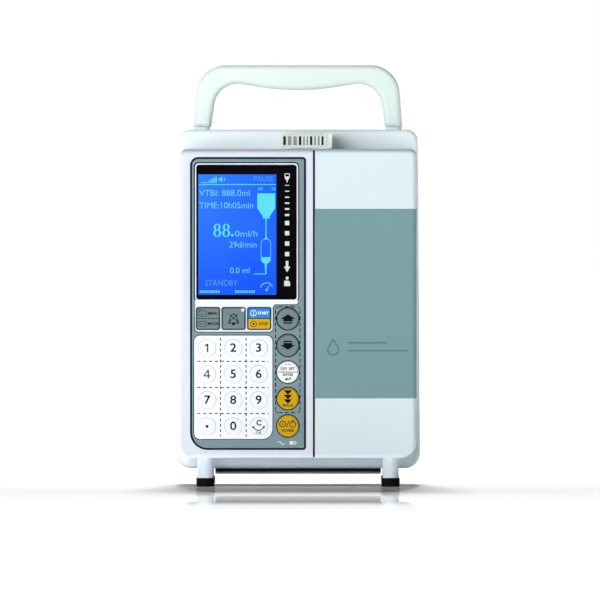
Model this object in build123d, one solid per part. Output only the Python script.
"""Portrait volumetric infusion pump with a front door, in millimetres.

X runs to the right, Y to the back and Z up. Z 0 is the surface the feet stand on.
"""

import math
import os

from build123d import *

os.makedirs("parts", exist_ok=True)

# Main planes of the case
FRONT_Y = -87.0
BAY_Y = -67.0
SPLIT_Y = -45.0
BACK_Y = 25.0
WALL = 2.2
FACE_WALL = 3.0

# Hinge line of the door
HINGE_X = 58.5
HINGE_Y = -69.8
DOOR_BACK_Y = -67.6
KNUCKLES_Z = ((28.0, 38.0), (150.0, 160.0))
PANEL_Z = (45.5, 142.8)

# Tube track and pumping window
TUBE_X = (30.5, 36.5)
TUBE_FLOOR_Y = -62.0
WINDOW_X = (24.0, 44.0)
WINDOW_Z = (68.0, 126.0)
SENSOR_Z = (50.0, 60.0)

# Camshaft and motor
CAM_X = 34.0
CAM_Y = -52.0
MOTOR_Y = -22.0
FINGERS = 12
FINGER_PITCH = 4.5
CAM_PULLEY_R = 6.6
MOTOR_PULLEY_R = 3.3

# Keypad
NUMBER_X = (-46.6, -33.2, -20.2)
NUMBER_Z = (71.4, 58.0, 44.7, 31.3)
NUMBER_NAMES = (
    ("1", "2", "3"),
    ("4", "5", "6"),
    ("7", "8", "9"),
    ("point", "0", "clear"),
)
NUMBER_R = 4.7
SIDE_X = -5.2
SIDE_Z = {"up": 86.4, "down": 72.8, "enter": 59.1, "bolus": 45.5, "power": 31.5}
SIDE_R = 5.35
WIDE_X = {"menu": -46.1, "mute": -33.0, "start_stop": -19.9}
WIDE_Z = 86.5
WIDE_SIZE = (12.2, 11.6)
KEY_GAP = 0.2
KEY_FRONT_Y = -87.5

# Screws that hold the two halves of the case together
SCREW_X = 54.0
SCREW_Z = (22.0, 168.0)

# Feet
FOOT_X = 47.6
FRONT_FOOT_Y = -58.0
REAR_FOOT_Y = 14.0

# Top and foot of the rear half of the case
TOP_Z = 183.2
REAR_FOOT_Z = 9.1

# Handle
LEG_X = 49.3
LEG_Z = 184.5
HANDLE_Y = (-28.0, -8.0)

# Pole clamp
POLE_X = 24.5
POLE_Y = 58.0
POLE_R = 12.5
CLAMP_Z = (80.0, 120.0)
SCREW_AXIS_Z = 100.0
CLAMP_BOLTS = ((2.0, 86.0), (24.0, 86.0), (2.0, 114.0), (24.0, 114.0))


def block(x0, x1, y0, y1, z0, z1):
    """Box between two opposite corners."""
    centre = ((x0 + x1) / 2, (y0 + y1) / 2, (z0 + z1) / 2)
    return Pos(*centre) * Box(x1 - x0, y1 - y0, z1 - z0)


def rod(x, y, z, radius, length, along="Z"):
    """Cylinder that starts at a point and runs along an axis."""
    turns = {"X": (0, 90, 0), "Y": (-90, 0, 0), "Z": (0, 0, 0)}
    upright = Pos(0, 0, length / 2) * Cylinder(radius, length)
    return Pos(x, y, z) * Rot(*turns[along]) * upright


def outline(corners, radii):
    """Closed face whose corners are rounded."""
    return make_face(FilletPolyline(*corners, radius=radii, close=True))


def rounded(x0, x1, z0, z1, radii):
    """Rectangle with its own radius at top left, top right, bottom right and bottom left."""
    corners = [(x0, z1), (x1, z1), (x1, z0), (x0, z0)]
    if isinstance(radii, (int, float)):
        radii = [radii] * 4
    return outline(corners, radii)


def slab(face, y0, y1):
    """Solid from a face drawn in X and Z, between two depths."""
    return extrude(Plane.XZ.offset(-y1) * face, amount=y1 - y0, dir=(0, -1, 0))


def prism(face, z0, z1):
    """Solid from a face drawn in X and Y, between two heights."""
    return extrude(Plane.XY.offset(z0) * face, amount=z1 - z0, dir=(0, 0, 1))


def front_edges(part):
    """Edges round the foremost face."""
    return part.faces().sort_by(Axis.Y)[0].edges()


def back_edges(part):
    """Edges round the rearmost face."""
    return part.faces().sort_by(Axis.Y)[-1].edges()


def many(parts):
    """Keeps several separate solids as one node."""
    solids = []
    for part in parts:
        solids.extend(part.solids())
    return Compound(children=solids)


def save(name, part):
    """Writes one node."""
    export_step(part, f"parts/{name}.step")


# Case


def front_outline(inset):
    """Front view of the front half of the case, drawn in by an inset."""
    radii = [max(radius - inset, 0.8) for radius in (3.4, 3.4, 8.5, 6.0)]
    return rounded(-60.4 + inset, 60.4 - inset, 15.1 + inset, 173.3 - inset, radii)


def rear_outline(inset):
    """Front view of the rear half of the case, a little wider at its foot."""
    top = TOP_Z - inset
    foot = REAR_FOOT_Z + inset
    half_top = 61.5 - inset
    half_foot = 63.0 - inset
    corners = [(-half_top, top), (half_top, top), (half_foot, foot), (-half_foot, foot)]
    radii = [6.0 - inset, 6.0 - inset, 8.0 - inset, 8.0 - inset]
    return outline(corners, radii)


def key_places():
    """Name, centre and kind of each key."""
    places = []
    for row, height in enumerate(NUMBER_Z):
        for column, across in enumerate(NUMBER_X):
            places.append((NUMBER_NAMES[row][column], across, height, "number"))
    for name, height in SIDE_Z.items():
        places.append((name, SIDE_X, height, "side"))
    for name, across in WIDE_X.items():
        places.append((name, across, WIDE_Z, "wide"))
    return places


def key_shape(x, z, kind, grow, y0, y1):
    """Body of a key, or its hole when grown."""
    if kind == "wide":
        half_x = WIDE_SIZE[0] / 2 + grow
        half_z = WIDE_SIZE[1] / 2 + grow
        face = rounded(x - half_x, x + half_x, z - half_z, z + half_z, 1.3)
        return slab(face, y0, y1)
    radius = NUMBER_R if kind == "number" else SIDE_R
    return rod(x, y0, z, radius + grow, y1 - y0, "Y")


def key_holes(y0, y1):
    """Holes for every key."""
    return [key_shape(x, z, kind, KEY_GAP, y0, y1) for _, x, z, kind in key_places()]


def tube_track():
    """Groove for the tube, cut right through from top to bottom."""
    return block(TUBE_X[0], TUBE_X[1], -70, TUBE_FLOOR_Y, 10, 180)


def front_casing():
    """Front half of the case: keypad face on the left, door bay on the right."""
    part = slab(front_outline(0), FRONT_Y, SPLIT_Y)
    part = fillet(front_edges(part), 2.4)
    part -= block(7.6, 62, -90, BAY_Y, 10, 180)
    inner = front_outline(WALL)
    part -= slab(inner, BAY_Y + WALL, SPLIT_Y)
    deep = slab(inner, FRONT_Y + FACE_WALL, SPLIT_Y)
    part -= deep & block(-62, 7.6 - WALL, -90, -40, 10, 180)
    # Bevel that lets the door swing clear
    corner = make_face(Polyline((58.4, BAY_Y), (60.4, BAY_Y), (60.4, BAY_Y + 2.0), close=True))
    part -= prism(corner, 10, 180)
    # Rib behind the tube track
    rib = block(28.5, 38.5, -66, -60, 17, 172)
    rib -= block(20, 50, -70, -50, WINDOW_Z[0], WINDOW_Z[1])
    part += rib
    part -= tube_track()
    part -= block(WINDOW_X[0], WINDOW_X[1], -70, -60, WINDOW_Z[0], WINDOW_Z[1])
    part -= block(26, 41, -70, -56, SENSOR_Z[0], SENSOR_Z[1])
    for x in (-SCREW_X, SCREW_X):
        front = FRONT_Y + FACE_WALL if x < 0 else BAY_Y + WALL
        for z in SCREW_Z:
            part += rod(x, front - 0.5, z, 3.5, SPLIT_Y - front + 0.5, "Y")
            part -= rod(x, -58, z, 1.5, 14, "Y")
    part -= slab(rounded(-55.4, 4.2, 19.1, 169.3, [4.3, 1.9, 1.6, 9.1]), -90, -86.2)
    part -= slab(rounded(-52.2, -0.6, 96.2, 165.3, 1.6), -90, -85.1)
    part -= slab(rounded(-51.3, -1.5, 97.1, 164.4, 1.0), -90, -80)
    for hole in key_holes(-90, -80):
        part -= hole
    # Slots for the latch tongue and for its guide foot
    part -= block(-0.3, 8, -73, -69, 166, 175)
    part -= block(-17.6, -3.4, -66.3, -63.7, 166, 175)
    for low, high in KNUCKLES_Z:
        part -= block(56.1, 58.15, -68, -64, low - 0.1, high + 0.1)
    return part


def rear_casing():
    """Rear half of the case, a shell with a flange at the front."""
    part = slab(rear_outline(0), SPLIT_Y, BACK_Y)
    part = fillet(front_edges(part), 2.0)
    part = fillet(back_edges(part), 4.0)
    part -= slab(rear_outline(WALL), SPLIT_Y + 2.5, BACK_Y - WALL)
    part -= slab(rounded(-49, 49, 27, 163, 4), -50, -40)
    for x in (-SCREW_X, SCREW_X):
        for z in SCREW_Z:
            part += rod(x, SPLIT_Y + 1, z, 4.6, 67.5, "Y")
            part -= rod(x, -30, z, 3.5, 60, "Y")
            part -= rod(x, -50, z, 1.7, 30, "Y")
    part -= block(18, 46, 15, 30, 30, 52)
    part -= rod(-36, 15, 41, 8.0, 15, "Y")
    for x, z in CLAMP_BOLTS:
        part -= rod(x, 20, z, 2.6, 10, "Y")
    for x in (-LEG_X, LEG_X):
        part -= rod(x, -18, 176, 2.1, 10)
    # Cooling slots in both sides and speaker holes in the back
    for row in range(6):
        z = 132 + 5 * row
        part -= block(-70, -55, -14, 12, z, z + 2)
        part -= block(55, 70, -14, 12, z, z + 2)
    for row in range(5):
        for column in range(5):
            part -= rod(-46 + 4 * column, 20, 136 + 4 * row, 1.0, 8, "Y")
    return part


def base_gasket():
    """Rubber seal under the case."""
    part = prism(RectangleRounded(85.2, 62, 4), 7.3, REAR_FOOT_Z)
    part -= prism(RectangleRounded(77, 54, 2), 7, 10)
    return Pos(0, -10, 0) * part


def base_plate():
    """Battery cover under the case."""
    part = prism(RectangleRounded(85.2, 62, 4), 6.2, 7.3)
    for x in (-12, 0, 12):
        part -= block(x - 4, x + 4, -24, -22.5, 6, 6.8)
    return Pos(0, -10, 0) * part


def foot_posts():
    """Four round posts."""
    posts = []
    for x in (-FOOT_X, FOOT_X):
        posts.append(rod(x, FRONT_FOOT_Y, 4.4, 4.1, 10.7))
        posts.append(rod(x, REAR_FOOT_Y, 4.4, 4.1, REAR_FOOT_Z - 4.4))
    return many(posts)


def foot_pads():
    """Four rubber feet."""
    pads = []
    for x in (-FOOT_X, FOOT_X):
        for y in (FRONT_FOOT_Y, REAR_FOOT_Y):
            pad = rod(x, y, 0, 4.65, 4.4)
            pads.append(fillet(pad.edges(), 0.5))
    return many(pads)


def casing_screws():
    """Four screws that go in from the back."""
    screws = []
    for x in (-SCREW_X, SCREW_X):
        for z in SCREW_Z:
            screw = rod(x, -30, z, 3.0, 2.6, "Y") + rod(x, -56, z, 1.45, 26.5, "Y")
            screw -= block(x - 2.2, x + 2.2, -28.4, -27, z - 0.4, z + 0.4)
            screw -= block(x - 0.4, x + 0.4, -28.4, -27, z - 2.2, z + 2.2)
            screws.append(screw)
    return many(screws)


def handle():
    """Carrying handle, thicker at the middle of its bar."""
    corners = [
        (53.7, LEG_Z),
        (51.2, 216.4),
        (-51.2, 216.4),
        (-53.7, LEG_Z),
        (-44.9, LEG_Z),
        (-41.2, 208.6),
        (0.0, 202.2),
        (41.2, 208.6),
        (44.9, LEG_Z),
    ]
    radii = [0, 15, 15, 0, 0, 12, 120, 12, 0]
    part = slab(outline(corners, radii), HANDLE_Y[0], HANDLE_Y[1])
    part = fillet(front_edges(part), 2.6)
    part = fillet(back_edges(part), 2.6)
    for x in (-LEG_X, LEG_X):
        part -= rod(x, -18, 180, 2.0, 16)
    return part


def handle_collars():
    """Spacers between the handle and the case."""
    collars = []
    for x in (-LEG_X, LEG_X):
        part = prism(Pos(x, -18, 0) * RectangleRounded(7.6, 17, 2.5), TOP_Z, LEG_Z)
        collars.append(part - rod(x, -18, 180, 2.1, 6))
    return many(collars)


def handle_screws():
    """Screws from inside the case up into the handle's legs."""
    screws = []
    for x in (-LEG_X, LEG_X):
        screws.append(rod(x, -18, TOP_Z - 5, 3.6, 2.8) + rod(x, -18, TOP_Z - 4, 1.95, 16))
    return many(screws)


# Face: overlay, window and screen


def overlay_panel():
    """Printed sheet in a shallow recess, cut out for the window and the keys."""
    part = slab(rounded(-55.3, 4.1, 19.2, 169.2, [4.2, 1.8, 1.5, 9.0]), -86.9, -86.2)
    part -= slab(rounded(-52.2, -0.6, 96.2, 165.3, 1.6), -90, -80)
    for hole in key_holes(-90, -80):
        part -= hole
    return part


def display_window():
    """Dark clear window over the screen."""
    return slab(rounded(-52.1, -0.7, 96.3, 165.2, 1.5), -86.9, -85.1)


def lcd_module():
    """Screen in its frame, behind the window."""
    part = block(-53, -9, -83.9, -78, 95, 163)
    part += block(-51.2, -11, -84.4, -83.5, 98.5, 160.4)
    return part


def keypad_board():
    """Switch board with its rubber domes, posts and warning lamps."""
    part = block(-54.5, 4, -79.6, -78, 26.2, 94)
    for x, z in ((-52.6, 64.7), (-52.6, 38), (2.6, 93), (2.6, 66), (2.6, 38)):
        part += rod(x, -84, z, 1.2, 4.6, "Y")
    for z in (105.5, 113, 119.5, 124.8, 130.1, 135.4, 148.7, 158.5):
        part += block(-6.6, -4.6, -84.4, -82.9, z - 1, z + 1)
    part += block(-8.4, -2.8, -82.9, -81.4, 100, 163)
    part += block(-6.6, -4.6, -81.6, -78, 93.5, 101)
    return part


def key_cap(x, z, kind):
    """Key with a flange behind the face that keeps it in."""
    cap = key_shape(x, z, kind, 0, KEY_FRONT_Y, -83.9)
    cap = fillet(front_edges(cap), 0.45)
    if kind == "wide":
        half_x = WIDE_SIZE[0] / 2
        half_z = WIDE_SIZE[1] / 2 + 0.9
        flange = block(x - half_x, x + half_x, -83.9, -82.9, z - half_z, z + half_z)
    else:
        flange = key_shape(x, z, kind, 0.9, -83.9, -82.9)
    return cap + flange + rod(x, -83, z, 1.6, 2.9, "Y")


# Door


def door_shell():
    """Door moulding, open at the back, with hinge blocks and a latch pocket."""
    part = slab(rounded(8.8, 60.7, 15.1, 173.3, [0, 3.4, 8.5, 0]), FRONT_Y, DOOR_BACK_Y)
    rim = front_edges(part).filter_by(lambda edge: edge.center().X > 9.5)
    part = fillet(rim, 2.2)
    cavity = slab(rounded(11.0, 57.5, 17.5, 171.0, [0.8, 1, 5.5, 0.8]), -82.6, -60)
    part -= cavity
    for low, high in KNUCKLES_Z:
        part += block(53.8, 58.5, -74, DOOR_BACK_Y, low - 6, high + 6)
    part += block(9, 18.5, -75, DOOR_BACK_Y, 164, 172)
    # Round back corner, concentric with the hinge line
    corner = block(HINGE_X, 61, HINGE_Y, -67, 14, 175)
    corner -= rod(HINGE_X, HINGE_Y, 14, 2.2, 161)
    part -= corner
    part -= block(8, 16.5, -73, -66, 166, 175)
    for low, high in KNUCKLES_Z:
        part -= block(55.5, 62, -73, -66, low - 0.3, high + 0.3)
        part -= rod(HINGE_X, HINGE_Y, low - 4.2, 1.2, high - low + 8.4)
    part -= block(8, 62, -90, -84.8, *PANEL_Z)
    return part


def door_panel():
    """Flat coloured panel let into the door."""
    part = block(8.8, 60.7, -86.9, -84.8, PANEL_Z[0] + 0.15, PANEL_Z[1] - 0.15)
    return fillet(front_edges(part).filter_by(Axis.Z).sort_by(Axis.X)[-1], 2.0)


def door_inner_plate():
    """Plate that closes the door's back, with a window for the platen."""
    part = slab(rounded(11.2, 53.6, 17.7, 163.8, 0.8), -70, -67.8)
    part -= block(22, 44, -72, -60, WINDOW_Z[0], WINDOW_Z[1])
    for z in (28, 146):
        part += block(18, 26, -82.6, -69, z - 3, z + 3)
    return part


def platen():
    """Sprung plate that presses the tube against the fingers."""
    part = block(22.3, 43.7, -72, -67.8, WINDOW_Z[0] + 0.3, WINDOW_Z[1] - 0.3)
    part = part + block(20.5, 45.5, -72.2, -70.4, WINDOW_Z[0] - 1.5, WINDOW_Z[1] + 1.5)
    return part


def platen_springs():
    """Four coil springs behind the platen."""
    springs = []
    for x in (26, 40):
        for z in (76, 118):
            springs.append(rod(x, -82.6, z, 2.6, 10.4, "Y") - rod(x, -83, z, 1.8, 12, "Y"))
    return many(springs)


def hinge_pins():
    """Two pins fixed in the door."""
    pins = []
    for low, high in KNUCKLES_Z:
        pins.append(rod(HINGE_X, HINGE_Y, low - 4.2, 1.2, high - low + 8.4))
    return many(pins)


def hinge_leaves():
    """Hinge brackets fixed in the case."""
    leaves = []
    for low, high in KNUCKLES_Z:
        part = rod(HINGE_X, HINGE_Y, low, 2.1, high - low)
        part += block(56.2, 58.05, HINGE_Y, -64.0, low, high)
        part += block(49, 58.05, -64.8, -63.3, low - 2, high + 2)
        part -= rod(HINGE_X, HINGE_Y, low - 1, 1.25, high - low + 2)
        leaves.append(part)
    return many(leaves)


def latch_slide():
    """Ribbed thumb slide on top, with a tongue that drops into the door."""
    part = block(-8.7, 17.4, -80, -50, 173.6, 175.2)
    part += block(-8.3, 16.6, -72, -58, 175.0, 180.9)
    part += block(-8.3, -7.7, -79, -51, 175.0, 180.9)
    part += block(13.2, 14.2, -79.5, -50.5, 175.0, 181.3)
    part += block(15.2, 17.4, -80, -50, 175.0, 181.3)
    for low, high in ((-6.1, 0.3), (1.8, 6.0), (7.4, 11.9)):
        part += block(low, high, -78.2, -51.8, 175.0, 179.9)
        for edge in (low, (low + high) / 2 - 0.4, high - 0.8):
            part += block(edge, edge + 0.8, -79.6, -50.4, 175.0, 181.3)
    part += block(10.5, 15, -72.5, -69.5, 167, 174)
    part += block(-7, -4, -66, -64, 170, 174)
    part += block(-7, -4, -68.5, -61.5, 168.6, 170.4)
    return part


# Pumping mechanism


def pump_frame():
    """Frame that carries the camshaft, the fingers and the motor."""
    part = block(22, 24.4, -64.8, -40, 60, 134)
    part += block(43.6, 46, -64.8, -40, 60, 134)
    part += block(22, 46, -60, -40, 60.2, 64)
    part += block(22, 46, -60, -8, 130, 134)
    part -= rod(CAM_X, CAM_Y, 55, 3.05, 90)
    part -= rod(CAM_X, MOTOR_Y, 125, 3.5, 20)
    return part


def finger_angle(index):
    """Phase of one finger."""
    return math.radians(30 * index)


def pump_fingers():
    """Row of fingers, each one step behind the one above."""
    fingers = []
    for index in range(FINGERS):
        low = 70.2 + FINGER_PITCH * index
        tip = -62.6 - 0.5 * math.sin(finger_angle(index))
        fingers.append(block(26, 42, tip, -59.2, low, low + 3.8))
    return many(fingers)


def finger_seal():
    """Thin rubber sheet in front of the fingers."""
    return block(24.5, 43.5, -63.9, -63.3, WINDOW_Z[0], WINDOW_Z[1])


def camshaft():
    """Shaft with one cam for each finger and a belt pulley on its end."""
    part = rod(CAM_X, CAM_Y, 57, 3.0, 84)
    for index in range(FINGERS):
        low = 70.3 + FINGER_PITCH * index
        x = CAM_X + 1.2 * math.cos(finger_angle(index))
        y = CAM_Y - 1.2 * math.sin(finger_angle(index))
        part += rod(x, y, low, 5.5, 3.6)
    part += rod(CAM_X, CAM_Y, 134.6, CAM_PULLEY_R + 0.8, 1.0)
    part += rod(CAM_X, CAM_Y, 135.4, CAM_PULLEY_R, 4.8)
    part += rod(CAM_X, CAM_Y, 140.0, CAM_PULLEY_R + 0.8, 1.0)
    return part


def motor_pulley():
    """Small pulley on the motor's shaft."""
    part = rod(CAM_X, MOTOR_Y, 131, 1.5, 10)
    part += rod(CAM_X, MOTOR_Y, 135.4, MOTOR_PULLEY_R, 4.8)
    part += rod(CAM_X, MOTOR_Y, 134.6, MOTOR_PULLEY_R + 0.8, 1.0)
    part += rod(CAM_X, MOTOR_Y, 140.0, MOTOR_PULLEY_R + 0.8, 1.0)
    part -= block(32.8, 35.2, MOTOR_Y + 1.0, MOTOR_Y + 2.0, 130, 134)
    return part


def drive_motor():
    """Stepping motor below the frame's top plate."""
    part = rod(CAM_X, MOTOR_Y, 90, 13.5, 40)
    part += rod(CAM_X, MOTOR_Y, 129, 3.4, 1.9)
    part -= rod(CAM_X, MOTOR_Y, 120, 1.6, 15)
    return fillet(part.edges().filter_by(GeomType.CIRCLE).sort_by(Axis.Z)[0], 1.5)


def belt_loop(grow):
    """Face of a loop round both pulleys."""
    big = Pos(CAM_X, CAM_Y) * Circle(CAM_PULLEY_R + grow)
    small = Pos(CAM_X, MOTOR_Y) * Circle(MOTOR_PULLEY_R + grow)
    return make_hull(big.edges() + small.edges())


def drive_belt():
    """Flat belt from the motor to the camshaft."""
    return prism(belt_loop(1.0), 135.9, 139.7) - prism(belt_loop(0.06), 135, 141)


def air_sensor():
    """Fork on both sides of the tube."""
    low, high = SENSOR_Z
    part = block(26.1, 40.9, BAY_Y, -58, low + 0.1, high - 0.1)
    part -= block(TUBE_X[0], TUBE_X[1], -70, TUBE_FLOOR_Y, low - 1, high + 1)
    return part


# Power and control


def main_board():
    """Control board with its chips."""
    part = block(-50, -12, -37, -35.4, 84, 160)
    chips = ((-42, 146, 12, 12), (-24, 146, 10, 8), (-40, 122, 16, 10), (-22, 120, 8, 14))
    for x, z, wide, tall in chips:
        part += block(x - wide / 2, x + wide / 2, -38.6, -36.8, z - tall / 2, z + tall / 2)
    part += block(-46, -18, -42, -36.8, 88, 94)
    return part


def power_supply():
    """Mains supply board with transformer, capacitor and heat sink."""
    part = block(-52, -17, -6, -4.4, 30, 76)
    part += block(-48, -26, -28, -5.5, 34, 54)
    part += rod(-40, -24, 66, 7, 19, "Y")
    part += block(-28, -19, -22, -5.5, 58, 74)
    return part


def battery_pack():
    """Rechargeable battery."""
    return fillet(block(-14, 14, -38, 13, 13, 70).edges(), 1.5)


def ac_inlet():
    """Mains inlet with its three pins."""
    part = slab(rounded(18.2, 45.8, 30.2, 51.8, 1.0), 5, BACK_Y)
    part += slab(rounded(14.5, 49.5, 28.2, 53.8, 3.0), BACK_Y, 27)
    mouth = make_face(
        Polyline((20, 33), (20, 46), (24, 50), (40, 50), (44, 46), (44, 33), close=True)
    )
    part -= slab(mouth, 9, 28)
    for x, z in ((32, 45.0), (25.5, 38.0), (38.5, 38.0)):
        part += block(x - 1, x + 1, 8.5, 22.5, z - 2, z + 2)
    return part


def sensor_socket():
    """Round socket for the drop sensor's lead."""
    part = rod(-36, 14, 41, 7.9, 11, "Y") + rod(-36, BACK_Y, 41, 9.5, 2, "Y")
    part -= rod(-36, 17, 41, 6.0, 12, "Y")
    part += rod(-36, 16.5, 41, 3.5, 3.5, "Y")
    return part


# Pole clamp


def clamp_body():
    """C-shaped clamp: base, grooved arm and threaded arm."""
    low, high = CLAMP_Z
    profile = [
        (-24.0, BACK_Y),
        (44.0, BACK_Y),
        (44.0, 87.5),
        (30.0, 87.5),
        (30.0, 33.0),
        (-12.0, 33.0),
        (-12.0, 72.0),
        (-24.0, 72.0),
    ]
    part = prism(outline(profile, [0, 0, 5, 2.5, 2, 1.5, 3, 3]), low, high)
    part -= rod(POLE_X, POLE_Y, low - 5, POLE_R, high - low + 10)
    part -= rod(-30, POLE_Y, SCREW_AXIS_Z, 5.05, 22, "X")
    for x, z in CLAMP_BOLTS:
        part -= rod(x, 20, z, 2.6, 20, "Y")
        part -= rod(x, 29.5, z, 4.7, 5, "Y")
    return part


def clamp_bolts():
    """Four bolts that hold the clamp to the case, with nuts inside."""
    bolts = []
    for x, z in CLAMP_BOLTS:
        bolt = rod(x, 29.5, z, 4.5, 3.2, "Y") + rod(x, 17, z, 2.5, 13, "Y")
        bolt += rod(x, 18.5, z, 4.2, 4.3, "Y")
        bolt -= slab(Pos(x, z) * RegularPolygon(1.7, 6), 31, 34)
        bolts.append(bolt)
    return many(bolts)


def clamp_jaw():
    """Sliding jaw with a shallow vee for the pole."""
    part = block(-11, -1, 33.4, 72, 84, 116)
    vee = make_face(Polyline((-0.5, 46), (-4.0, 58), (-0.5, 70), close=True))
    part -= prism(vee, 80, 120)
    part -= rod(-12, POLE_Y, SCREW_AXIS_Z, 5.05, 6, "X")
    return part


def clamp_screw():
    """Screw from the knob to the jaw."""
    part = rod(-52, POLE_Y, SCREW_AXIS_Z, 5.0, 45.8, "X")
    for step in range(7):
        x = -44 + 2.6 * step
        ring = rod(x, POLE_Y, SCREW_AXIS_Z, 5.2, 0.9, "X")
        part -= ring - rod(x - 1, POLE_Y, SCREW_AXIS_Z, 4.6, 3, "X")
    return part


def clamp_knob():
    """Lobed knob."""
    part = rod(-61, POLE_Y, SCREW_AXIS_Z, 13.5, 15, "X")
    for lobe in range(6):
        angle = math.radians(60 * lobe)
        y = POLE_Y + 11.5 * math.cos(angle)
        z = SCREW_AXIS_Z + 11.5 * math.sin(angle)
        part += rod(-61, y, z, 4.5, 15, "X")
    part -= rod(-52, POLE_Y, SCREW_AXIS_Z, 5.0, 10, "X")
    return part


save("front_casing", front_casing())
save("rear_casing", rear_casing())
save("base_gasket", base_gasket())
save("base_plate", base_plate())
save("foot_posts", foot_posts())
save("foot_pads", foot_pads())
save("casing_screws", casing_screws())
save("handle", handle())
save("handle_collars", handle_collars())
save("handle_screws", handle_screws())
save("overlay_panel", overlay_panel())
save("display_window", display_window())
save("lcd_module", lcd_module())
save("keypad_board", keypad_board())
for key_name, key_x, key_z, key_kind in key_places():
    save(f"key_{key_name}", key_cap(key_x, key_z, key_kind))
save("door_shell", door_shell())
save("door_panel", door_panel())
save("door_inner_plate", door_inner_plate())
save("platen", platen())
save("platen_springs", platen_springs())
save("hinge_pins", hinge_pins())
save("hinge_leaves", hinge_leaves())
save("latch_slide", latch_slide())
save("pump_frame", pump_frame())
save("pump_fingers", pump_fingers())
save("finger_seal", finger_seal())
save("camshaft", camshaft())
save("motor_pulley", motor_pulley())
save("drive_motor", drive_motor())
save("drive_belt", drive_belt())
save("air_sensor", air_sensor())
save("main_board", main_board())
save("power_supply", power_supply())
save("battery_pack", battery_pack())
save("ac_inlet", ac_inlet())
save("sensor_socket", sensor_socket())
save("clamp_body", clamp_body())
save("clamp_bolts", clamp_bolts())
save("clamp_jaw", clamp_jaw())
save("clamp_screw", clamp_screw())
save("clamp_knob", clamp_knob())
